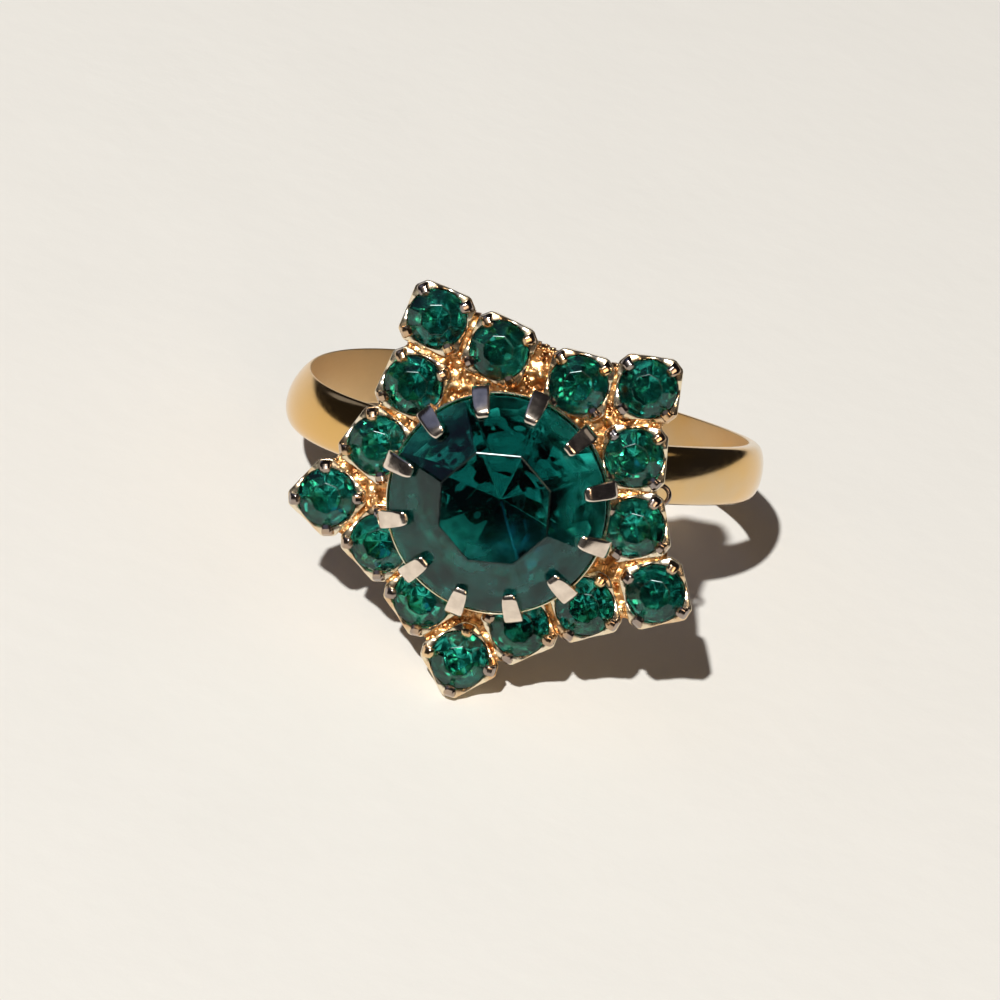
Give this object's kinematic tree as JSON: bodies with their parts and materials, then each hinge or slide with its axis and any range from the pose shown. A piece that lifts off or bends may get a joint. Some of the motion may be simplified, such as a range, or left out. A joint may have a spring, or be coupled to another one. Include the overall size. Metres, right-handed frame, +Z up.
{
  "type": "cluster ring",
  "caption": "Half-round finger ring with a five-pointed star of small round stones in square claw cups round one large raised stone.",
  "frame": {"origin": "centre of the finger hole", "axes": "+Z up from the surface that it lies on, -Y the way the star faces, +X to the right for someone who looks at the star; the finger hole's axis leans 21.5 degrees back from +Z and 6.1 degrees to the left"},
  "size_m": [0.02, 0.0249, 0.0148],
  "materials": {
    "gold_plate": "worn gold-tone plating",
    "silver_plate": "polished silver-tone plating",
    "green_glass": "deep green cut glass, foiled behind"
  },
  "bodies": {
    "root": {"ring_frame": "gold_plate", "centre_setting": "silver_plate", "centre_stone": "green_glass", "star_stone_01": "green_glass", "star_stone_02": "green_glass", "star_stone_03": "green_glass", "star_stone_04": "green_glass", "star_stone_05": "green_glass", "star_stone_06": "green_glass", "star_stone_07": "green_glass", "star_stone_08": "green_glass", "star_stone_09": "green_glass", "star_stone_10": "green_glass", "star_stone_11": "green_glass", "star_stone_12": "green_glass", "star_stone_13": "green_glass", "star_stone_14": "green_glass", "star_stone_15": "green_glass"}
  },
  "joints": []
}
